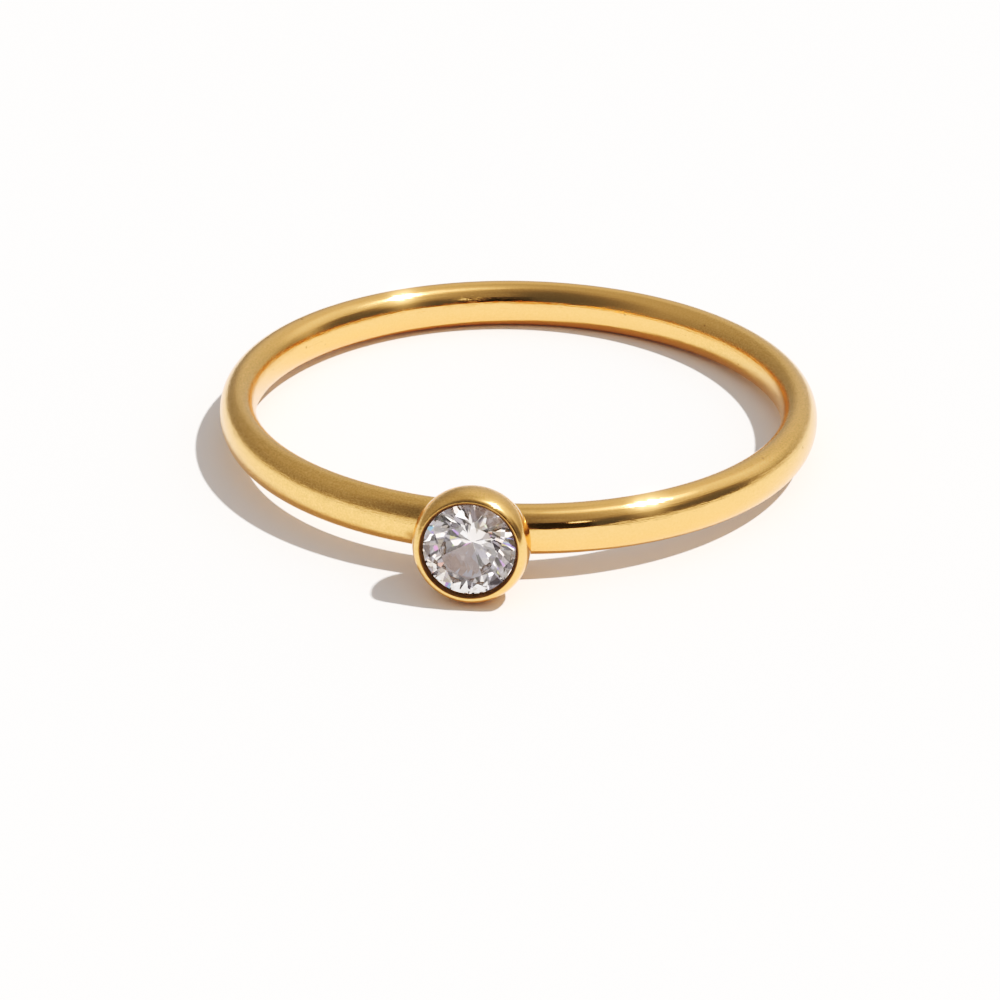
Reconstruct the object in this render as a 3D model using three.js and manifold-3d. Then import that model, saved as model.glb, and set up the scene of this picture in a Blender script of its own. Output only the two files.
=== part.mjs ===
// Stackable finger ring with one bezel-set round brilliant, lying on its side as it rests by itself.
// Millimetres, +Z up. The floor is z = 0, the stone points to -Y and X = 0 is the plane of symmetry.
// The ring is built in its own frame, with the band's axis along Z and the band's centre at the
// origin, and is then tipped and lifted to the pose in which it lies on the floor.
import * as THREE from 'three';
import { mergeVertices } from 'three/addons/utils/BufferGeometryUtils.js';
import { ConvexGeometry } from 'three/addons/geometries/ConvexGeometry.js';
import Module from 'manifold-3d';

const wasm = await Module();
wasm.setup();

// Band
const boreDiameter = 17.3;
const bandThickness = 1.18;
const bandWidth = 1.6;
// The section is a superellipse: 2 gives a plain ellipse, and more makes it squarer.
const bandSectionPower = 2.1;

// Stone, a round brilliant with eight main facets above and below its girdle
const stoneDiameter = 3.0;
const tableDiameter = 1.74;
const crownHeight = 0.42;
const girdleThickness = 0.05;
const pavilionDepth = 1.29;
const starTipDiameter = 2.3;
const lowerTipDiameter = 0.69;

// Bezel, a round-backed cup soldered to the band, with its lip burnished over the stone's edge
const bezelTiltDegrees = 7.7;
const bezelWall = 0.23;
const bezelSink = 0.22;
const bezelFootRadius = 0.5;
const cupFloorThickness = 0.23;
const seatWidth = 0.6;
const lipRise = 0.3;
const lipOverlap = 0.115;
const lipBevelWidth = 0.09;
const lipLand = 0.03;
const lipShoulderHeight = 0.7;

// Clearances between the stone and its cup
const stoneClearance = 0.05;
const culetClearance = 0.1;

// Facets of the rounded forms
const bandSteps = 96;
const bandSectionSteps = 20;
const bezelSteps = 48;
const backSteps = 8;
const shoulderSteps = 6;

// The cavity's cone runs on past the lip by this much, so that it cuts the lip cleanly.
const mouthOvercut = 0.4;

// The resting pose is searched for by halving between lying flat and this tip.
const steepestTip = Math.PI / 4;
const tipHalvings = 40;
const xAxis = new THREE.Vector3(1, 0, 0);

const mainFacets = 8;
const halfAngle = Math.PI / mainFacets;

const bandRadius = boreDiameter / 2 + bandThickness / 2;
const bezelTilt = THREE.MathUtils.degToRad(bezelTiltDegrees);
const stoneRadius = stoneDiameter / 2;
const tableRadius = tableDiameter / 2;

// Levels along the bezel's axis, measured outwards from the middle of the band's section
const backLevel = bandThickness / 2 - bezelSink;
const floorLevel = backLevel + cupFloorThickness;
const culetLevel = floorLevel + culetClearance;
const girdleLowLevel = culetLevel + pavilionDepth;
const girdleHighLevel = girdleLowLevel + girdleThickness;
const crestLevel = girdleHighLevel + lipRise;
const widestLevel = crestLevel - lipShoulderHeight;

const pocketRadius = stoneRadius + stoneClearance;
const bezelRadius = pocketRadius + bezelWall;
const lipBoreRadius = stoneRadius - lipOverlap;
const mouthRadius = lipBoreRadius + lipBevelWidth;
const crestRadius = mouthRadius + lipLand;
const wellRadius = stoneRadius - seatWidth;

// Height above the girdle, at a distance from the axis towards a main facet's middle, of the crown.
function mainCrownHeight(distance) {
  return ((stoneRadius - distance) * crownHeight) / (stoneRadius - tableRadius);
}

// The same below the girdle, as a depth, for the pavilion.
function mainPavilionDepth(distance) {
  return ((stoneRadius - distance) * pavilionDepth) / stoneRadius;
}

// The lip clears the steepest facets of the crown, which rise from the girdle to the star facets' tips.
function lipEdgeLevel() {
  const tipRadius = starTipDiameter / 2;
  const tipHeight = mainCrownHeight(tipRadius * Math.cos(halfAngle));
  const slope = tipHeight / (stoneRadius - tipRadius);
  return girdleHighLevel + lipOverlap * slope + stoneClearance;
}

// Makes a closed mesh into a solid: shared vertices are merged and faces without area are left out.
function solidOf(geometry) {
  const plain = geometry.clone();
  plain.deleteAttribute('normal');
  plain.deleteAttribute('uv');
  const merged = mergeVertices(plain);
  const corners = merged.index.array;
  const kept = [];
  for (let i = 0; i < corners.length; i += 3) {
    const [a, b, c] = corners.slice(i, i + 3);
    if (a !== b && b !== c && c !== a) kept.push(a, b, c);
  }
  return new wasm.Manifold(new wasm.Mesh({
    numProp: 3,
    vertProperties: Float32Array.from(merged.attributes.position.array),
    triVerts: Uint32Array.from(kept),
  }));
}

function geometryOf(solid) {
  const mesh = solid.getMesh();
  const geometry = new THREE.BufferGeometry();
  geometry.setAttribute('position', new THREE.BufferAttribute(mesh.vertProperties, 3));
  geometry.setIndex(new THREE.BufferAttribute(mesh.triVerts, 1));
  geometry.computeVertexNormals();
  return geometry;
}

// A point of a superellipse with the given half sizes.
function superellipsePoint(halfX, halfY, power, angle) {
  const bend = (value) => Math.sign(value) * Math.abs(value) ** (2 / power);
  return new THREE.Vector2(halfX * bend(Math.cos(angle)), halfY * bend(Math.sin(angle)));
}

// A lathed form starts half a step round, so that an edge and not a corner lies at its lowest place.
function lathed(profile, steps) {
  return new THREE.LatheGeometry(profile, steps, Math.PI / steps, 2 * Math.PI);
}

function bandSolid() {
  const profile = [];
  for (let i = 0; i <= bandSectionSteps; i++) {
    const angle = (2 * Math.PI * (i % bandSectionSteps)) / bandSectionSteps;
    const point = superellipsePoint(bandThickness / 2, bandWidth / 2, bandSectionPower, angle);
    profile.push(point.add(new THREE.Vector2(bandRadius, 0)));
  }
  return solidOf(lathed(profile, bandSteps).rotateX(Math.PI / 2));
}

// Turns a form made round the Y axis so that it stands on the front of the band, along the bezel's axis.
function ontoBand(geometry) {
  return geometry.rotateX(Math.PI - bezelTilt).translate(0, -bandRadius, 0);
}

// The outer form of the cup: a flat foot, a rounded back, a rounded shoulder and the lip's narrow land.
function cupSolid() {
  const back = new THREE.EllipseCurve(
    bezelFootRadius, widestLevel, bezelRadius - bezelFootRadius, widestLevel - backLevel, -Math.PI / 2, 0,
  );
  const shoulder = new THREE.EllipseCurve(
    crestRadius, widestLevel, bezelRadius - crestRadius, lipShoulderHeight, 0, Math.PI / 2,
  );
  const profile = [
    new THREE.Vector2(0, backLevel),
    ...back.getPoints(backSteps),
    ...shoulder.getPoints(shoulderSteps).slice(1),
    new THREE.Vector2(0, crestLevel),
  ];
  return solidOf(ontoBand(lathed(profile, bezelSteps)));
}

// The room inside the cup: a well under the stone, its sloping seat, the girdle's pocket and the mouth.
function cavitySolid() {
  const seatLevel = girdleLowLevel - stoneClearance;
  const wellTopLevel = seatLevel - (pocketRadius - wellRadius) * (pavilionDepth / stoneRadius);
  const edgeLevel = lipEdgeLevel();
  const mouthSlope = lipBevelWidth / (crestLevel - edgeLevel);
  const profile = [
    new THREE.Vector2(0, floorLevel),
    new THREE.Vector2(wellRadius, floorLevel),
    new THREE.Vector2(wellRadius, wellTopLevel),
    new THREE.Vector2(pocketRadius, seatLevel),
    new THREE.Vector2(pocketRadius, girdleHighLevel + stoneClearance),
    new THREE.Vector2(lipBoreRadius, edgeLevel),
    new THREE.Vector2(mouthRadius + mouthOvercut * mouthSlope, crestLevel + mouthOvercut),
    new THREE.Vector2(0, crestLevel + mouthOvercut),
  ];
  return solidOf(ontoBand(lathed(profile, bezelSteps)));
}

function metalGeometry() {
  return geometryOf(bandSolid().add(cupSolid()).subtract(cavitySolid()));
}

// Points evenly round the stone's axis, which is Y here. The first stands at the given angle.
function ringOfPoints(count, radius, level, firstAngle) {
  return Array.from({ length: count }, (_, i) => {
    const angle = firstAngle + (2 * Math.PI * i) / count;
    return new THREE.Vector3(radius * Math.sin(angle), level, radius * Math.cos(angle));
  });
}

// Table, eight star and eight main crown facets, sixteen upper and sixteen lower girdle facets and
// eight pavilion mains. A main facet is flat because its side corners lie on its own slope.
function stoneGeometry() {
  const starTipRadius = starTipDiameter / 2;
  const lowerTipRadius = lowerTipDiameter / 2;
  const starTipHeight = mainCrownHeight(starTipRadius * Math.cos(halfAngle));
  const lowerTipDepth = mainPavilionDepth(lowerTipRadius * Math.cos(halfAngle));
  const points = [
    ...ringOfPoints(mainFacets, tableRadius, girdleHighLevel + crownHeight, 0),
    ...ringOfPoints(mainFacets, starTipRadius, girdleHighLevel + starTipHeight, halfAngle),
    ...ringOfPoints(2 * mainFacets, stoneRadius, girdleHighLevel, 0),
    ...ringOfPoints(2 * mainFacets, stoneRadius, girdleLowLevel, 0),
    ...ringOfPoints(mainFacets, lowerTipRadius, girdleLowLevel - lowerTipDepth, halfAngle),
    new THREE.Vector3(0, culetLevel, 0),
  ];
  return geometryOf(solidOf(ontoBand(new ConvexGeometry(points))));
}

// The lowest height that the points on one side of the ring reach when it is tipped about X.
function lowest(points, tip) {
  const turned = new THREE.Vector3();
  return Math.min(...points.map((point) => turned.copy(point).applyAxisAngle(xAxis, tip).z));
}

// The ring lies on the back of its band and on the underside of its bezel. Tipping it backwards
// raises the front, and this finds the angle at which both are equally low.
function restingTip(geometry) {
  const places = geometry.attributes.position;
  const pointAt = (_, i) => new THREE.Vector3().fromBufferAttribute(places, i);
  const points = Array.from({ length: places.count }, pointAt);
  const front = points.filter((point) => point.y < 0);
  const back = points.filter((point) => point.y > 0);
  let tooSteep = -steepestTip;
  let tooFlat = 0;
  for (let i = 0; i < tipHalvings; i++) {
    const tip = (tooSteep + tooFlat) / 2;
    if (lowest(front, tip) > lowest(back, tip)) tooSteep = tip;
    else tooFlat = tip;
  }
  return (tooSteep + tooFlat) / 2;
}

function node(name, geometry, settings) {
  const mesh = new THREE.Mesh(geometry, new THREE.MeshStandardMaterial(settings));
  mesh.name = name;
  return mesh;
}

const gold = { color: 0xd9a441, roughness: 0.12, metalness: 1 };
const clearStone = { color: 0xf1f0f4, roughness: 0.02, metalness: 0, transparent: true, opacity: 0.5 };

const metal = node('band_and_bezel', metalGeometry(), gold);
const stone = node('stone', stoneGeometry(), clearStone);

const ring = new THREE.Group();
ring.add(metal, stone);
ring.rotation.x = restingTip(metal.geometry);
ring.updateMatrixWorld(true);
const box = new THREE.Box3().setFromObject(ring, true);
ring.position.set(0, -(box.min.y + box.max.y) / 2, -box.min.z);

const assembly = new THREE.Group();
assembly.add(ring);

export default assembly;
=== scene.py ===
# Looks of a stackable finger ring: a polished gold band and bezel cup, soldered into one, and a
# clear round brilliant. Metres, +Z up, with the ring lying on the floor as it rests by itself.
import math

import bmesh
import bpy
from mathutils import Matrix, Vector


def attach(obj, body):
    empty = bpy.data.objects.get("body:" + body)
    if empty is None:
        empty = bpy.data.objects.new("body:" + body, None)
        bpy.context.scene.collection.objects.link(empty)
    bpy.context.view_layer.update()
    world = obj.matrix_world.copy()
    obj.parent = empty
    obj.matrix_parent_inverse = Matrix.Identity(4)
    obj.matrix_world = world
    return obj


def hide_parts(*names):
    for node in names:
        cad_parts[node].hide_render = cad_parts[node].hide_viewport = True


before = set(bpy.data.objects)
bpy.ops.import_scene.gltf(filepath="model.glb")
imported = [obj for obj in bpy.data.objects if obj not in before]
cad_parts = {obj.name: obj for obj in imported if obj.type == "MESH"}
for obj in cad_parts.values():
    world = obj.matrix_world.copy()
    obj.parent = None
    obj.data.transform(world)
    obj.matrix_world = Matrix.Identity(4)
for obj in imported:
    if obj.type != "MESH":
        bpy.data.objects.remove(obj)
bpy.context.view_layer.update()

mm = 0.001

# How the ring lies: the middle of its band, and how far the band's plane leans back
BAND_CENTRE = Vector((0, 0.9941, 1.1437)) * mm
LEAN = math.radians(-2.1361)

# Band, a closed loop of superelliptic section
BORE_DIAMETER = 17.3 * mm
BAND_THICKNESS = 1.18 * mm
BAND_WIDTH = 1.6 * mm
BAND_SECTION_POWER = 2.1
BAND_RADIUS = (BORE_DIAMETER + BAND_THICKNESS) / 2
BAND_STEPS = 640
BAND_SECTION_STEPS = 56
# Points at which a loop is measured, so that its steps can be spaced evenly
LOOP_SAMPLES = 4000

# Stone, a round brilliant with eight main facets above and below its girdle
STONE_RADIUS = 1.5 * mm
TABLE_RADIUS = 0.87 * mm
CROWN_HEIGHT = 0.42 * mm
GIRDLE_THICKNESS = 0.05 * mm
PAVILION_DEPTH = 1.29 * mm
STAR_TIP_RADIUS = 1.15 * mm
LOWER_TIP_RADIUS = 0.345 * mm
MAIN_FACETS = 8
HALF_FACET = math.pi / MAIN_FACETS
# Triangles that lie within this angle of each other are one facet.
FLAT_ANGLE = math.radians(0.5)

# Bezel cup, soldered to the front of the band
BEZEL_TILT = math.radians(7.7)
BEZEL_WALL = 0.23 * mm
BEZEL_SINK = 0.22 * mm
BEZEL_FOOT_RADIUS = 0.5 * mm
CUP_FLOOR_THICKNESS = 0.23 * mm
SEAT_WIDTH = 0.6 * mm
LIP_RISE = 0.3 * mm
LIP_OVERLAP = 0.115 * mm
LIP_BEVEL_WIDTH = 0.09 * mm
LIP_LAND = 0.03 * mm
LIP_SHOULDER_HEIGHT = 0.7 * mm
LIP_CREST_ROUNDING = 0.03 * mm
LIP_EDGE_ROUNDING = 0.02 * mm
SEAT_ROUNDING = 0.03 * mm
BEZEL_STEPS = 256
BACK_STEPS = 28
SHOULDER_STEPS = 24
ROUNDING_STEPS = 4
# A rounding's reach fits this many times, or more, into each side beside it.
ROUNDINGS_PER_SIDE = 2.2
STONE_CLEARANCE = 0.05 * mm
CULET_CLEARANCE = 0.1 * mm
# Edges of the metal that bend by more than this stay crisp.
SHARP_ANGLE = math.radians(32)

# Levels along the bezel's axis, measured outwards from the middle of the band's section
BACK_LEVEL = BAND_THICKNESS / 2 - BEZEL_SINK
FLOOR_LEVEL = BACK_LEVEL + CUP_FLOOR_THICKNESS
CULET_LEVEL = FLOOR_LEVEL + CULET_CLEARANCE
GIRDLE_LOW_LEVEL = CULET_LEVEL + PAVILION_DEPTH
GIRDLE_HIGH_LEVEL = GIRDLE_LOW_LEVEL + GIRDLE_THICKNESS
CREST_LEVEL = GIRDLE_HIGH_LEVEL + LIP_RISE
WIDEST_LEVEL = CREST_LEVEL - LIP_SHOULDER_HEIGHT
POCKET_RADIUS = STONE_RADIUS + STONE_CLEARANCE
BEZEL_RADIUS = POCKET_RADIUS + BEZEL_WALL
LIP_BORE_RADIUS = STONE_RADIUS - LIP_OVERLAP
MOUTH_RADIUS = LIP_BORE_RADIUS + LIP_BEVEL_WIDTH
CREST_RADIUS = MOUTH_RADIUS + LIP_LAND
WELL_RADIUS = STONE_RADIUS - SEAT_WIDTH
SEAT_LEVEL = GIRDLE_LOW_LEVEL - STONE_CLEARANCE
WELL_TOP_LEVEL = SEAT_LEVEL - (POCKET_RADIUS - WELL_RADIUS) * PAVILION_DEPTH / STONE_RADIUS
CULET = Vector((0, 0, CULET_LEVEL))

# Gold plating: the darker and the lighter colour of its fine speckle, polished and rubbed dull
POLISHED_GOLD = ((0.91, 0.53, 0.215, 1), (0.96, 0.57, 0.245, 1))
RUBBED_GOLD = ((0.82, 0.485, 0.19, 1), (0.96, 0.59, 0.26, 1))
# Painted shade: the dark brown given to the bevel inside the lip
SHADED_GOLD = (0.34, 0.19, 0.08, 1)
PIT_COLOUR = (0.3, 0.17, 0.07, 1)
PIT_STRENGTH = 0.6
# The cup is painted silvery inside, with tan cells: painted light, so that it gives more light back
# through the stone.
SEAT_SILVER = (0.97, 0.96, 1, 1)
SEAT_TAN = (0.8, 0.67, 0.58, 1)
SEAT_CELL_SCALE = 4200.0
SEAT_TONE_RANGE = (0.3, 1.0)
# Distances from the bezel's axis between which the cup's finish and the painted shade and roughness of its
# bevel set in
CUP_EDGE = (BEZEL_RADIUS * 1.08, BEZEL_RADIUS * 1.02)
BEVEL_EDGE = (MOUTH_RADIUS + LIP_LAND * 1.2, MOUTH_RADIUS + LIP_LAND * 0.6)
# Roughness of the best polish, and what each kind of mark and place adds to it
POLISH_ROUGHNESS = 0.04
LINE_ROUGHNESS = 0.05
GRAIN_ROUGHNESS = 0.03
RUBBED_ROUGHNESS = 0.12
CUP_ROUGHNESS = 0.05
PIT_ROUGHNESS = 0.2
BEVEL_ROUGHNESS = 0.25
INSIDE_ROUGHNESS = 0.15
# Stretches of the band: the angle of their middle, and the cosines of the angles from there at
# which they end and from which they are full
RUBBED_STRETCHES = ((math.radians(-140), 0.45, 0.75), (math.radians(10), 0.6, 0.9))
BEST_STRETCH = (math.radians(-79), 0.961, 0.985)
# Marks in the polish: cells to a metre and levels of detail
GRAIN = (26000.0, 2.0)
SPECKLE = (15000.0, 2.0)
PATCHES = (1500.0, 3.0)
WAVE = (700.0, 1.0)
# Pits, one to a cell: cells to a metre, and the shares of a cell between which a pit fades out
PIT_SCALE = 1000.0
PIT_RANGE = (0.03, 0.07)
# The gold's tone: the share that the lines have in it, beside the speckle, and how far it reaches
TONE_LINES = 0.35
TONE_RANGE = (0.36, 0.64)
# Marks that run along the band: how often they come with the angle round it and with the angle
# round its section, their scale and their detail
LINES = (6, 10, 3.0, 3.0)
STRIPES = (0.5, 1.6, 2.0, 2.0)
# Heights of the marks
LINE_HEIGHT = 0.009 * mm
STRIPE_HEIGHT = 0.009 * mm
BEST_STRIPE_HEIGHT = 0.001 * mm
WAVE_HEIGHT = 0.002 * mm
GRAIN_HEIGHT = 0.0004 * mm
PIT_DEPTH = 0.001 * mm
# How much of the lines' height is left usually, and how much less where the polish is best
USUAL_WEAR = 0.6
POLISHED_AWAY = 0.52

# Clear stone, with a painted reflection of the gold that is strongest towards its upper right
CLEAR = (0.98, 0.98, 1, 1)
PAINTED_GOLD_REFLECTION = (0.66, 0.52, 0.36, 1)
PAINTED_REFLECTION_SIDE = Vector((0.75, 0, 0.66))
PAINTED_REFLECTION_REACH = 1.1 * mm
PAINTED_REFLECTION_CELL_SCALE = 4500.0
SMEARS = (1800.0, 3.0)
SMEAR_RANGE = (0.62, 0.75)
SMEAR_ROUGHNESS = 0.04
STONE_IOR = 1.7

# White paper floor
PAPER = (0.87, 0.865, 0.86, 1)
PAPER_ROUGHNESS = 0.9
PAPER_SHINE = 0.1
FIBRES = (4000.0, 3.0)
FIBRE_HEIGHT = 0.01 * mm
FIBRE_STRENGTH = 0.2
FLOOR_RADIUS = 0.35
FLOOR_STEPS = 96

# Camera, about the middle of the band
CAMERA_DISTANCE = 102.9 * mm
CAMERA_AZIMUTH = math.radians(7.121)
CAMERA_ELEVATION = math.radians(25.8)
CAMERA_AIM = Vector((0.628, -8.246, 2.465)) * mm
CAMERA_ROLL = math.radians(-0.5644)
CAMERA_LENS = 112.04
CAMERA_SENSOR = 36

# Light: a small bright lamp high on the right, in a grey studio that is lighter overhead
SUN_AZIMUTH = 4
SUN_ELEVATION = 60.5
SUN_STRENGTH = 5.2
SUN_WIDTH = math.radians(2.2)
SUN_COLOUR = (1, 0.99, 0.975)
STUDIO_LOW = 0.51
STUDIO_HIGH = 0.77
# Sines of the elevations between which the studio gets lighter
STUDIO_HEIGHTS = (0.05, 0.95)
# For red, green and blue: the share of the studio's light, the light that is added to it, and the
# power of the screen's shade, which is brown and so takes more of the green and the blue
STUDIO_TINTS = ((1, 0, 1), (0.93, 0.065, 1.2), (0.9, 0.1, 1.5))
# Even light on dull surfaces, and plain white behind everything
STUDIO_FILL = (0.86, 0.84, 0.84, 1)
BACKDROP_WHITE = (2.2, 2.2, 2.2, 1)
# Brighter and darker parts of the studio: azimuth, elevation, the angles from there within which
# they fade out and are full, and how much light they add or take, as a share where it is below 0
BRIGHT_PARTS = (
    (70, 28, 46, 17, 0.41), (-11, 42.5, 57, 30, 0.61), (SUN_AZIMUTH, SUN_ELEVATION, 17, 6, 1.1),
    (-32, 73, 12, 4, 0.8), (-72, 33, 12, 5, 0.35),
)
DARK_PARTS = ((-88, 36, 59, 6, -0.6), (-4, 14, 28, 5, -0.76), (-38, 12, 28, 5, -0.68))
# A dark screen and a window: the azimuths and elevations between which they lie, and the light
# that they add or take in the same way
SCREEN = (-87, -55.5, -8, 23, -0.68)
WINDOW = (-63, -56, 18.5, 22.5, 2.8)
# Their sides fade over this many degrees on either hand.
PANEL_EDGE = 0.6

# What light from the stone meets: patches from dark to light, cooler and warmer, and smaller
# sparks, some of which flash while a few are coloured
GLITTER_SCALE = 19.0
GLITTER_RANGE = (0.1, 0.9)
GLITTER_LIGHT = (0.2, 0.94)
GLITTER_TINT = (1.02, 0.96, 1.06)
GLITTER_WARMTH = 0.18
SPARK_SCALE = 45.0
FLASHING = (0.88, 0.9)
FLASH_LIGHT = 2.2
COLOURED = (0.93, 0.94)
COLOURED_SATURATION = 0.55
COLOURED_LIGHT = 1.4

# How often light may turn in all, which it does most in the stone, and between pieces of gold
MOST_TURNS = 18
GOLD_TURNS = 8

# How the picture answers to light, as (light, brightness)
TONE_POINTS = (
    (0, 0), (0.06, 0.014), (0.131, 0.042), (0.226, 0.105), (0.39, 0.24), (0.673, 0.45),
    (1.16, 0.715), (1.6, 0.87), (1.9, 0.975), (2.02, 1),
)
BLOOM = {"Threshold": 4.0, "Clamp": True, "Maximum": 200.0, "Strength": 1.0, "Size": 0.03}

ring_pose = Matrix.Translation(BAND_CENTRE) @ Matrix.Rotation(LEAN, 4, "X")
# The bezel's own axis, which is Z in its lathed profile, leaves the band outwards and a little up.
bezel_pose = (
    ring_pose
    @ Matrix.Translation((0, -BAND_RADIUS, 0))
    @ Matrix.Rotation(math.pi / 2 - BEZEL_TILT, 4, "X")
)


def placed(name, mesh):
    """A piece of the given mesh, in the scene."""
    piece = bpy.data.objects.new(name, mesh)
    bpy.context.scene.collection.objects.link(piece)
    return piece


def smooth_piece(name, rows, faces):
    mesh = bpy.data.meshes.new(name)
    mesh.from_pydata([tuple(v) for v in rows], [], faces)
    mesh.polygons.foreach_set("use_smooth", [True] * len(mesh.polygons))
    mesh.update()
    return placed(name, mesh)


def superellipse(half_x, half_y, power, angle):
    def bend(value):
        return math.copysign(abs(value) ** (2 / power), value)
    return half_x * bend(math.cos(angle)), half_y * bend(math.sin(angle))


def even_loop(curve, count):
    """Points spaced evenly by length round a closed curve of one angle."""
    fine = [curve(2 * math.pi * i / LOOP_SAMPLES) for i in range(LOOP_SAMPLES + 1)]
    lengths = [0]
    for (x0, y0), (x1, y1) in zip(fine, fine[1:]):
        lengths.append(lengths[-1] + math.hypot(x1 - x0, y1 - y0))
    points = []
    place = 0
    for i in range(count):
        wanted = lengths[-1] * i / count
        while lengths[place + 1] < wanted:
            place += 1
        share = (wanted - lengths[place]) / (lengths[place + 1] - lengths[place])
        points.append(Vector(fine[place]).lerp(Vector(fine[place + 1]), share))
    return points


def rounded(corners):
    """An open outline whose corners, given as (x, y, radius), are rounded where the radius isn't 0."""
    points = []
    for i, (x, y, radius) in enumerate(corners):
        here = Vector((x, y))
        if radius == 0:
            points.append(here)
            continue
        back = Vector(corners[i - 1][:2]) - here
        onward = Vector(corners[i + 1][:2]) - here
        reach = min(radius, back.length / ROUNDINGS_PER_SIDE, onward.length / ROUNDINGS_PER_SIDE)
        start = here + back.normalized() * reach
        end = here + onward.normalized() * reach
        for step in range(ROUNDING_STEPS + 1):
            share = step / ROUNDING_STEPS
            points.append(start.lerp(here, share).lerp(here.lerp(end, share), share))
    return points


def quarter_ellipse(centre_x, centre_y, half_x, half_y, start, steps):
    """Points a quarter of the way round an ellipse, from the start angle."""
    turns = (start + math.pi / 2 * i / steps for i in range(steps + 1))
    return [(centre_x + half_x * math.cos(t), centre_y + half_y * math.sin(t), 0) for t in turns]


def band(name):
    section = even_loop(
        lambda angle: superellipse(BAND_THICKNESS / 2, BAND_WIDTH / 2, BAND_SECTION_POWER, angle),
        BAND_SECTION_STEPS,
    )
    verts = []
    for i in range(BAND_STEPS):
        turn = Matrix.Rotation(2 * math.pi * i / BAND_STEPS, 4, "Z")
        verts += [ring_pose @ turn @ Vector((BAND_RADIUS + p.x, 0, p.y)) for p in section]
    faces = []
    for i in range(BAND_STEPS):
        here = i * BAND_SECTION_STEPS
        there = (i + 1) % BAND_STEPS * BAND_SECTION_STEPS
        for j in range(BAND_SECTION_STEPS):
            after = (j + 1) % BAND_SECTION_STEPS
            faces.append((here + j, there + j, there + after, here + after))
    return smooth_piece(name, verts, faces)


def crown_height(distance):
    """Height above the girdle of a crown main facet, this far from the axis."""
    return (STONE_RADIUS - distance) * CROWN_HEIGHT / (STONE_RADIUS - TABLE_RADIUS)


def pavilion_depth(distance):
    """Depth below the girdle of a pavilion main facet, this far from the axis."""
    return (STONE_RADIUS - distance) * PAVILION_DEPTH / STONE_RADIUS


def lip_edge_level():
    """Level of the lip's edge, which clears the crown's steepest facets."""
    tip_height = crown_height(STAR_TIP_RADIUS * math.cos(HALF_FACET))
    slope = tip_height / (STONE_RADIUS - STAR_TIP_RADIUS)
    return GIRDLE_HIGH_LEVEL + LIP_OVERLAP * slope + STONE_CLEARANCE


def cup_profile():
    """Half the cup's section as (radius, level), from the middle of its back to the well's floor."""
    back = quarter_ellipse(
        BEZEL_FOOT_RADIUS, WIDEST_LEVEL, BEZEL_RADIUS - BEZEL_FOOT_RADIUS, WIDEST_LEVEL - BACK_LEVEL,
        -math.pi / 2, BACK_STEPS,
    )
    shoulder = quarter_ellipse(
        CREST_RADIUS, WIDEST_LEVEL, BEZEL_RADIUS - CREST_RADIUS, LIP_SHOULDER_HEIGHT, 0, SHOULDER_STEPS,
    )
    corners = [
        (0, BACK_LEVEL, 0),
        *back,
        *shoulder[1:-1],
        (CREST_RADIUS, CREST_LEVEL, 0),
        (MOUTH_RADIUS, CREST_LEVEL, LIP_CREST_ROUNDING),
        (LIP_BORE_RADIUS, lip_edge_level(), LIP_EDGE_ROUNDING),
        (POCKET_RADIUS, GIRDLE_HIGH_LEVEL + STONE_CLEARANCE, SEAT_ROUNDING),
        (POCKET_RADIUS, SEAT_LEVEL, SEAT_ROUNDING),
        (WELL_RADIUS, WELL_TOP_LEVEL, SEAT_ROUNDING),
        (WELL_RADIUS, FLOOR_LEVEL, SEAT_ROUNDING),
        (0, FLOOR_LEVEL, 0),
    ]
    return rounded(corners)


def cup(name):
    """The cup's profile, which starts and ends on the bezel's axis, turned about that axis."""
    profile = cup_profile()
    inner = profile[1:-1]
    verts = [bezel_pose @ Vector((0, 0, end.y)) for end in (profile[0], profile[-1])]
    for i in range(BEZEL_STEPS):
        turn = Matrix.Rotation(2 * math.pi * i / BEZEL_STEPS, 4, "Z")
        verts += [bezel_pose @ turn @ Vector((p.x, 0, p.y)) for p in inner]
    faces = []
    for i in range(BEZEL_STEPS):
        here = 2 + i * len(inner)
        there = 2 + (i + 1) % BEZEL_STEPS * len(inner)
        faces.append((0, there, here))
        for j in range(len(inner) - 1):
            faces.append((here + j, there + j, there + j + 1, here + j + 1))
        faces.append((1, here + len(inner) - 1, there + len(inner) - 1))
    return smooth_piece(name, verts, faces)


def united(name, first, second):
    """One piece from two closed pieces that meet, which are deleted."""
    union = first.modifiers.new("union", "BOOLEAN")
    union.operation = "UNION"
    union.solver = "EXACT"
    union.object = second
    bpy.context.view_layer.update()
    graph = bpy.context.evaluated_depsgraph_get()
    mesh = bpy.data.meshes.new_from_object(first.evaluated_get(graph))
    for old in (first, second):
        bpy.data.objects.remove(old)
    mesh.name = name
    mesh.polygons.foreach_set("use_smooth", [True] * len(mesh.polygons))
    mesh.set_sharp_from_angle(angle=SHARP_ANGLE)
    return placed(name, mesh)


def points_round(count, radius, level, first_angle):
    """Points spaced evenly round the bezel's axis."""
    angles = (first_angle + 2 * math.pi * i / count for i in range(count))
    return [Vector((radius * math.sin(a), radius * math.cos(a), level)) for a in angles]


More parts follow.
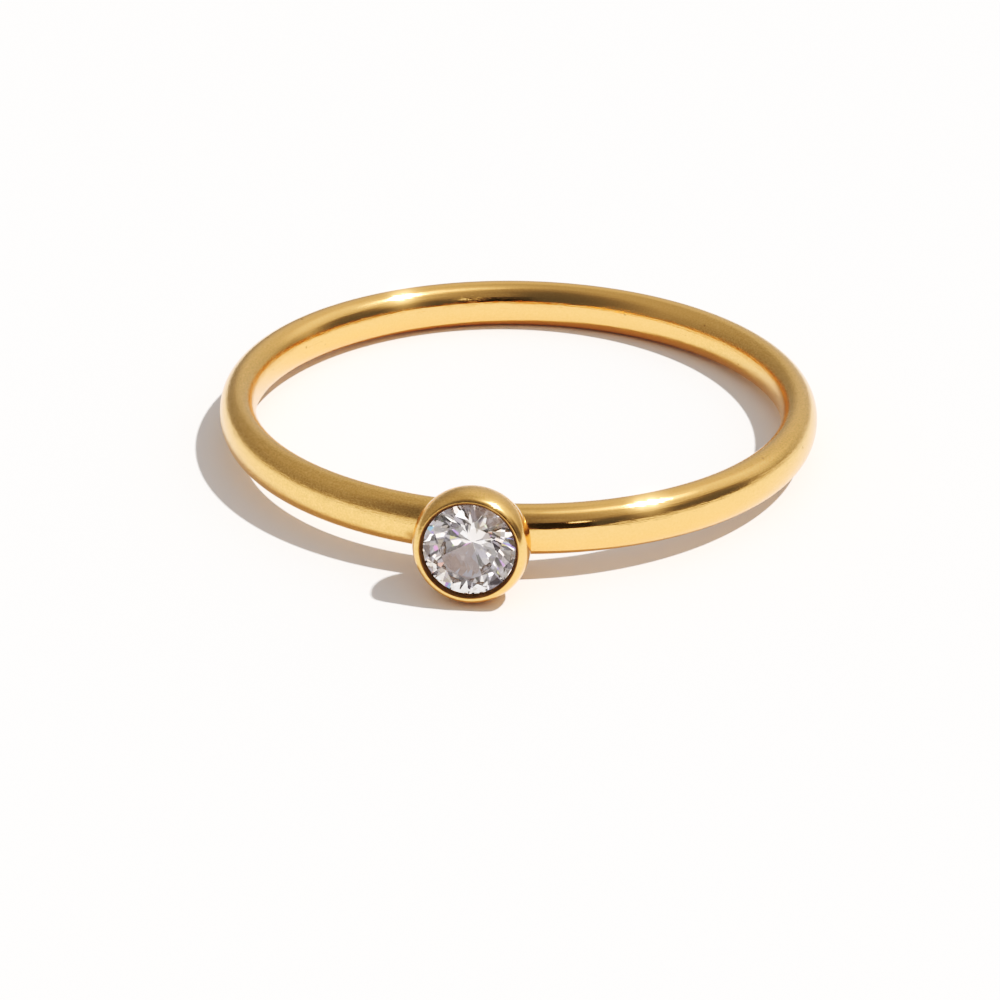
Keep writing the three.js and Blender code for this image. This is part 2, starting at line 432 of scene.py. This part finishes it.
def brilliant(name):
    star_height = crown_height(STAR_TIP_RADIUS * math.cos(HALF_FACET))
    lower_depth = pavilion_depth(LOWER_TIP_RADIUS * math.cos(HALF_FACET))
    corners = [
        *points_round(MAIN_FACETS, TABLE_RADIUS, GIRDLE_HIGH_LEVEL + CROWN_HEIGHT, 0),
        *points_round(MAIN_FACETS, STAR_TIP_RADIUS, GIRDLE_HIGH_LEVEL + star_height, HALF_FACET),
        *points_round(2 * MAIN_FACETS, STONE_RADIUS, GIRDLE_HIGH_LEVEL, 0),
        *points_round(2 * MAIN_FACETS, STONE_RADIUS, GIRDLE_LOW_LEVEL, 0),
        *points_round(MAIN_FACETS, LOWER_TIP_RADIUS, GIRDLE_LOW_LEVEL - lower_depth, HALF_FACET),
        CULET,
    ]
    shape = bmesh.new()
    for corner in corners:
        shape.verts.new(bezel_pose @ corner)
    bmesh.ops.convex_hull(shape, input=shape.verts[:])
    bmesh.ops.dissolve_limit(
        shape, angle_limit=FLAT_ANGLE, verts=shape.verts[:], edges=shape.edges[:],
    )
    mesh = bpy.data.meshes.new(name)
    shape.to_mesh(mesh)
    shape.free()
    return placed(name, mesh)


class Number:
    """A node's output. Sums, differences and products of numbers become Math nodes."""

    def __init__(self, nodes, socket):
        self.nodes = nodes
        self.socket = socket

    def __add__(self, other):
        return self.nodes.maths("ADD", self, other)

    def __radd__(self, other):
        return self.nodes.maths("ADD", other, self)

    def __sub__(self, other):
        return self.nodes.maths("SUBTRACT", self, other)

    def __rsub__(self, other):
        return self.nodes.maths("SUBTRACT", other, self)

    def __mul__(self, other):
        return self.nodes.maths("MULTIPLY", self, other)

    def __rmul__(self, other):
        return self.nodes.maths("MULTIPLY", other, self)


class Nodes:
    """A node tree, and one way to add nodes to it."""

    def __init__(self, owner):
        owner.use_nodes = True
        self.tree = owner.node_tree

    def add(self, kind, settings=None, inputs=None, output=0):
        """Adds a node of a type, with its settings and its sockets' values or links."""
        node = self.tree.nodes.new("ShaderNode" + kind)
        for key, value in (settings or {}).items():
            setattr(node, key, value)
        for key, value in (inputs or {}).items():
            self.feed(node.inputs[key], value)
        return Number(self, node.outputs[output])

    def feed(self, socket, value):
        if isinstance(value, Number):
            self.tree.links.new(value.socket, socket)
        else:
            socket.default_value = value

    def maths(self, operation, *values):
        return self.add("Math", {"operation": operation}, dict(enumerate(values)))

    def vector_maths(self, operation, *vectors, output="Vector"):
        return self.add("VectorMath", {"operation": operation}, dict(enumerate(vectors)), output)

    def mix_colour(self, factor, first, second):
        """Goes from the first colour to the second. A Mix node's sockets for colours are 6, 7 and 2."""
        return self.add("Mix", {"data_type": "RGBA"}, {0: factor, 6: first, 7: second}, output=2)

    def fade(self, value, start, end, low=0.0, high=1.0, smooth=False):
        """Goes from low to high as the value goes from start to end, and no further."""
        way = {"interpolation_type": "SMOOTHSTEP" if smooth else "LINEAR"}
        ends = {"Value": value, "From Min": start, "From Max": end, "To Min": low, "To Max": high}
        return self.add("MapRange", way, ends)

    def noise(self, place, scale, detail):
        return self.add("TexNoise", inputs={"Vector": place, "Scale": scale, "Detail": detail})

    def cells(self, place, scale, output="Color"):
        """Random cells: each one's own colour, or the distance from its middle."""
        return self.add("TexVoronoi", inputs={"Vector": place, "Scale": scale}, output=output)

    def channel(self, colour, name):
        """The Red, Green or Blue of a colour."""
        return self.add("SeparateColor", inputs={0: colour}, output=name)

    def axes(self, vector):
        return [self.add("SeparateXYZ", inputs={0: vector}, output=axis) for axis in "XYZ"]

    def surface(self):
        """The material's shader and the place on the surface."""
        return self.tree.nodes["Principled BSDF"], self.add("TexCoord", output="Object")

    def bump(self, strength, height):
        return self.add("Bump", inputs={"Strength": strength, "Distance": 1.0, "Height": height})


def band_coordinates(nodes, place):
    """Place seen from the band: itself, laid flat, the angle round the band and that round its section."""
    centred = nodes.vector_maths("SUBTRACT", place, BAND_CENTRE)
    turn = {"Vector": centred, "Angle": -LEAN}
    flat = nodes.add("VectorRotate", {"rotation_type": "X_AXIS"}, turn)
    x, y, z = nodes.axes(flat)
    distance = nodes.maths("SQRT", x * x + y * y)
    return flat, nodes.maths("ARCTAN2", y, x), nodes.maths("ARCTAN2", z, distance - BAND_RADIUS)


def bezel_coordinates(nodes, place):
    """Place seen from the bezel: distance from its axis and level along it."""
    axis = bezel_pose.to_3x3() @ Vector((0, 0, 1))
    offset = nodes.vector_maths("SUBTRACT", place, bezel_pose.translation)
    level = nodes.vector_maths("DOT_PRODUCT", offset, axis, output="Value")
    across = nodes.vector_maths("CROSS_PRODUCT", offset, axis)
    return nodes.vector_maths("LENGTH", across, output="Value"), level


def cup_masks(nodes, place):
    """Where the metal is the cup, the bevel inside its lip, and its inside round the stone."""
    distance, level = bezel_coordinates(nodes, place)
    edge = lip_edge_level()
    on_cup = nodes.fade(distance, *CUP_EDGE)
    bevel = nodes.fade(distance, *BEVEL_EDGE)
    bevel = bevel * nodes.fade(level, edge - LIP_EDGE_ROUNDING * 2, edge - LIP_EDGE_ROUNDING)
    well = nodes.fade(distance, WELL_RADIUS + SEAT_ROUNDING * 2, WELL_RADIUS + SEAT_ROUNDING)
    well = well * nodes.fade(level, FLOOR_LEVEL - SEAT_ROUNDING * 2, FLOOR_LEVEL - SEAT_ROUNDING)
    pocket = nodes.fade(distance, POCKET_RADIUS + SEAT_ROUNDING * 2, POCKET_RADIUS + SEAT_ROUNDING)
    pocket = pocket * nodes.fade(
        level, WELL_TOP_LEVEL - SEAT_ROUNDING * 2, WELL_TOP_LEVEL - SEAT_ROUNDING,
    )
    inside = nodes.maths("MAXIMUM", well, pocket)
    inside = inside * nodes.fade(level, edge - LIP_EDGE_ROUNDING, edge - LIP_EDGE_ROUNDING * 2)
    return on_cup, bevel, inside


def gold_finish():
    """Polished gold plating: almost a mirror, with polishing lines and pits, rubbed dull in places;
    painted shade on the lip's bevel and painted light inside the cup.
    """
    material = bpy.data.materials.new("polished_gold")
    nodes = Nodes(material)
    shader, anywhere = nodes.surface()
    place, along, around = band_coordinates(nodes, anywhere)
    on_cup, bevel, inside = cup_masks(nodes, anywhere)

    def stretch(middle, end, full):
        return nodes.fade(nodes.maths("COSINE", along - middle), end, full)

    def marks_along(often_along, often_around, scale, detail):
        spread = {"X": along * often_along, "Y": around * often_around, "Z": 0.0}
        return nodes.noise(nodes.add("CombineXYZ", inputs=spread), scale, detail)

    left, right = (stretch(*values) for values in RUBBED_STRETCHES)
    rubbed = left + right
    best = stretch(*BEST_STRETCH)
    lines = marks_along(*LINES)
    stripes = marks_along(*STRIPES)
    grain = nodes.noise(place, *GRAIN)
    speckle = nodes.noise(place, *SPECKLE)
    wave = nodes.noise(place, *WAVE)
    patches = nodes.noise(place, *PATCHES)
    pits = nodes.fade(nodes.cells(place, PIT_SCALE, "Distance"), *PIT_RANGE, 1.0, 0.0)

    tone = nodes.fade(lines * TONE_LINES + speckle * (1 - TONE_LINES), *TONE_RANGE)
    polished = nodes.mix_colour(tone, *POLISHED_GOLD)
    dull = nodes.mix_colour(tone, *RUBBED_GOLD)
    seat_cells = nodes.cells(place, SEAT_CELL_SCALE)
    seat_tone = nodes.fade(nodes.channel(seat_cells, "Red"), *SEAT_TONE_RANGE)
    colour = nodes.mix_colour(rubbed, polished, dull)
    # Painted shade: the bevel inside the lip is made dark brown.
    colour = nodes.mix_colour(bevel, colour, SHADED_GOLD)
    colour = nodes.mix_colour(pits * PIT_STRENGTH, colour, PIT_COLOUR)
    # Painted light: the inside of the cup is made silvery, with tan cells, so that more light comes back
    # through the stone.
    colour = nodes.mix_colour(inside, colour, nodes.mix_colour(seat_tone, SEAT_SILVER, SEAT_TAN))
    nodes.feed(shader.inputs["Base Color"], colour)

    roughness = POLISH_ROUGHNESS + lines * LINE_ROUGHNESS + grain * GRAIN_ROUGHNESS
    roughness = roughness + rubbed * RUBBED_ROUGHNESS + on_cup * CUP_ROUGHNESS + pits * PIT_ROUGHNESS
    roughness = roughness + bevel * BEVEL_ROUGHNESS + inside * INSIDE_ROUGHNESS
    nodes.feed(shader.inputs["Roughness"], roughness)

    worn = USUAL_WEAR + rubbed * (1 - USUAL_WEAR) - best * POLISHED_AWAY
    stripe_height = STRIPE_HEIGHT - best * (STRIPE_HEIGHT - BEST_STRIPE_HEIGHT)
    height = wave * WAVE_HEIGHT + stripes * stripe_height + lines * patches * worn * LINE_HEIGHT
    height = height + grain * GRAIN_HEIGHT - pits * PIT_DEPTH
    nodes.feed(shader.inputs["Normal"], nodes.bump(1.0, height))
    shader.inputs["Metallic"].default_value = 1
    return material


def stone_finish():
    """Clear polished stone, with traces of handling on its facets and a painted reflection of the gold
    towards its upper right.
    """
    material = bpy.data.materials.new("polished_stone")
    nodes = Nodes(material)
    shader, place = nodes.surface()
    smears = nodes.fade(nodes.noise(place, *SMEARS), *SMEAR_RANGE, high=SMEAR_ROUGHNESS)
    nodes.feed(shader.inputs["Roughness"], smears)
    # Painted reflection: mottled gold colour in the stone, growing towards its upper right.
    offset = nodes.vector_maths("SUBTRACT", place, bezel_pose @ CULET)
    sideways = nodes.vector_maths("DOT_PRODUCT", offset, PAINTED_REFLECTION_SIDE, output="Value")
    painted_reflection = nodes.fade(sideways, 0.0, PAINTED_REFLECTION_REACH)
    mottle = nodes.channel(nodes.cells(place, PAINTED_REFLECTION_CELL_SCALE), "Red")
    nodes.feed(shader.inputs["Base Color"], nodes.mix_colour(painted_reflection * mottle, CLEAR, PAINTED_GOLD_REFLECTION))
    shader.inputs["Transmission Weight"].default_value = 1
    shader.inputs["IOR"].default_value = STONE_IOR
    return material


def floor_finish():
    """Plain white paper."""
    material = bpy.data.materials.new("white_paper")
    nodes = Nodes(material)
    shader, place = nodes.surface()
    fibres = nodes.noise(place, *FIBRES)
    nodes.feed(shader.inputs["Normal"], nodes.bump(FIBRE_STRENGTH, fibres * FIBRE_HEIGHT))
    shader.inputs["Base Color"].default_value = PAPER
    shader.inputs["Roughness"].default_value = PAPER_ROUGHNESS
    shader.inputs["Specular IOR Level"].default_value = PAPER_SHINE
    return material


def make_floor(level):
    shape = bmesh.new()
    bmesh.ops.create_circle(shape, cap_ends=True, segments=FLOOR_STEPS, radius=FLOOR_RADIUS)
    mesh = bpy.data.meshes.new("floor")
    shape.to_mesh(mesh)
    shape.free()
    mesh.transform(Matrix.Translation((0, 0, level)))
    mesh.materials.append(floor_finish())
    placed("floor", mesh)


def towards(azimuth, elevation):
    """A direction from its azimuth, counted from +X towards +Y, and its elevation, in degrees."""
    turn = math.radians(azimuth)
    rise = math.radians(elevation)
    return Vector((math.cos(rise) * math.cos(turn), math.cos(rise) * math.sin(turn), math.sin(rise)))


def soft_part(nodes, direction, azimuth, elevation, outer, inner, amount):
    """A round part of the studio that fades out towards its edge."""
    middle = towards(azimuth, elevation)
    closeness = nodes.vector_maths("DOT_PRODUCT", direction, middle, output="Value")
    ends = (math.cos(math.radians(angle)) for angle in (outer, inner))
    return nodes.fade(closeness, *ends, 0.0, amount, smooth=True)


def sine(degrees):
    return math.sin(math.radians(degrees))


def panel(nodes, azimuth, height, first, last, low, high, amount):
    """A part of the studio between two azimuths and two elevations, in degrees."""
    def side(value, measure, outer, inner):
        return nodes.fade(value, measure(outer), measure(inner), smooth=True)

    across = side(azimuth, math.radians, first - PANEL_EDGE, first + PANEL_EDGE)
    across = across * side(azimuth, math.radians, last + PANEL_EDGE, last - PANEL_EDGE)
    upright = side(height, sine, low - PANEL_EDGE, low + PANEL_EDGE)
    upright = upright * side(height, sine, high + PANEL_EDGE, high - PANEL_EDGE)
    return across * upright * amount


def mirrored_studio(nodes, direction):
    """What the gold and the outside of the stone mirror."""
    x, y, height = nodes.axes(direction)
    azimuth = nodes.maths("ARCTAN2", y, x)
    light = nodes.fade(height, *STUDIO_HEIGHTS, STUDIO_LOW, STUDIO_HIGH, smooth=True)
    for values in BRIGHT_PARTS:
        light = light + soft_part(nodes, direction, *values)
    for values in DARK_PARTS:
        light = light * (1 + soft_part(nodes, direction, *values))
    screen = 1 + panel(nodes, azimuth, height, *SCREEN)
    window = panel(nodes, azimuth, height, *WINDOW)
    channels = [
        (light * share + added) * nodes.maths("POWER", screen, power) + window
        for share, added, power in STUDIO_TINTS
    ]
    return nodes.add("CombineXYZ", inputs=dict(enumerate(channels)))


def glitter(nodes, direction):
    """What light that leaves the stone meets."""
    cells = nodes.cells(direction, GLITTER_SCALE)
    patch = nodes.fade(nodes.channel(cells, "Red"), *GLITTER_RANGE, *GLITTER_LIGHT, smooth=True)
    sparks = nodes.cells(direction, SPARK_SCALE)
    flash = nodes.fade(nodes.channel(sparks, "Blue"), *FLASHING, 0.0, FLASH_LIGHT, smooth=True)
    lit = patch + flash
    red, green, blue = GLITTER_TINT
    blue = blue - nodes.channel(cells, "Green") * GLITTER_WARMTH
    tinted = nodes.add("CombineXYZ", inputs={"X": lit * red, "Y": lit * green, "Z": lit * blue})
    hue_saturation_value = {0: nodes.channel(sparks, "Red"), 1: COLOURED_SATURATION, 2: COLOURED_LIGHT}
    rainbow = nodes.add("CombineColor", {"mode": "HSV"}, hue_saturation_value)
    coloured = nodes.fade(nodes.channel(sparks, "Green"), *COLOURED, smooth=True)
    return nodes.mix_colour(coloured, tinted, rainbow)


def make_sky():
    """The studio, which differs for what is mirrored, seen through the stone, lit or seen directly."""
    world = bpy.data.worlds.new("studio")
    bpy.context.scene.world = world
    nodes = Nodes(world)
    direction = nodes.add("TexCoord", output="Generated")
    shade = mirrored_studio(nodes, direction)
    others = {
        "Is Transmission Ray": glitter(nodes, direction),
        "Is Diffuse Ray": STUDIO_FILL,
        "Is Camera Ray": BACKDROP_WHITE,
    }
    for ray, colour in others.items():
        shade = nodes.mix_colour(nodes.add("LightPath", output=ray), shade, colour)
    nodes.feed(nodes.tree.nodes["Background"].inputs["Color"], shade)
    world.cycles.sampling_method = "NONE"


def make_sun():
    sun = bpy.data.lights.new("sun", "SUN")
    sun.energy = SUN_STRENGTH
    sun.angle = SUN_WIDTH
    sun.color = SUN_COLOUR
    lamp = placed("sun", sun)
    lamp.rotation_euler = towards(SUN_AZIMUTH, SUN_ELEVATION).to_track_quat("Z", "Y").to_euler()


def make_camera():
    camera = bpy.data.cameras.new("camera")
    camera.lens = CAMERA_LENS
    camera.sensor_width = CAMERA_SENSOR
    camera.clip_start = 0.001
    camera.clip_end = 10
    eye = placed("camera", camera)
    level = CAMERA_DISTANCE * math.cos(CAMERA_ELEVATION)
    eye.location = BAND_CENTRE + Vector((
        level * math.sin(CAMERA_AZIMUTH),
        -level * math.cos(CAMERA_AZIMUTH),
        CAMERA_DISTANCE * math.sin(CAMERA_ELEVATION),
    ))
    aimed = (CAMERA_AIM - eye.location).to_track_quat("-Z", "Y").to_matrix()
    eye.rotation_euler = (aimed @ Matrix.Rotation(-CAMERA_ROLL, 3, "Z")).to_euler()
    bpy.context.scene.camera = eye


def make_glare(scene):
    """A lens's small bloom round the lamp's glints."""
    scene.use_nodes = True
    tree = scene.node_tree
    tree.nodes.clear()
    layers = tree.nodes.new("CompositorNodeRLayers")
    glare = tree.nodes.new("CompositorNodeGlare")
    picture = tree.nodes.new("CompositorNodeComposite")
    glare.glare_type = "BLOOM"
    for name, value in BLOOM.items():
        glare.inputs[name].default_value = value
    tree.links.new(layers.outputs["Image"], glare.inputs["Image"])
    tree.links.new(glare.outputs["Image"], picture.inputs["Image"])


def set_tones(settings):
    settings.view_transform = "Standard"
    settings.use_curve_mapping = True
    tones = settings.curve_mapping
    brightest = TONE_POINTS[-1][0]
    tones.white_level = (brightest, brightest, brightest)
    all_channels = tones.curves[3]
    for light, brightness in TONE_POINTS[1:-1]:
        all_channels.points.new(light / brightest, brightness)
    tones.update()


make_camera()
metal = united("gold_ring", band("band"), cup("cup"))
metal.data.materials.append(gold_finish())
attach(metal, "root")
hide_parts("band_and_bezel")

stone = brilliant("brilliant_stone")
stone.data.materials.append(stone_finish())
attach(stone, "root")
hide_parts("stone")

make_floor(min(v.co.z for v in metal.data.vertices))
make_sky()
make_sun()

scene = bpy.context.scene
set_tones(scene.view_settings)
make_glare(scene)
scene.cycles.max_bounces = MOST_TURNS
scene.cycles.transmission_bounces = MOST_TURNS
scene.cycles.glossy_bounces = GOLD_TURNS
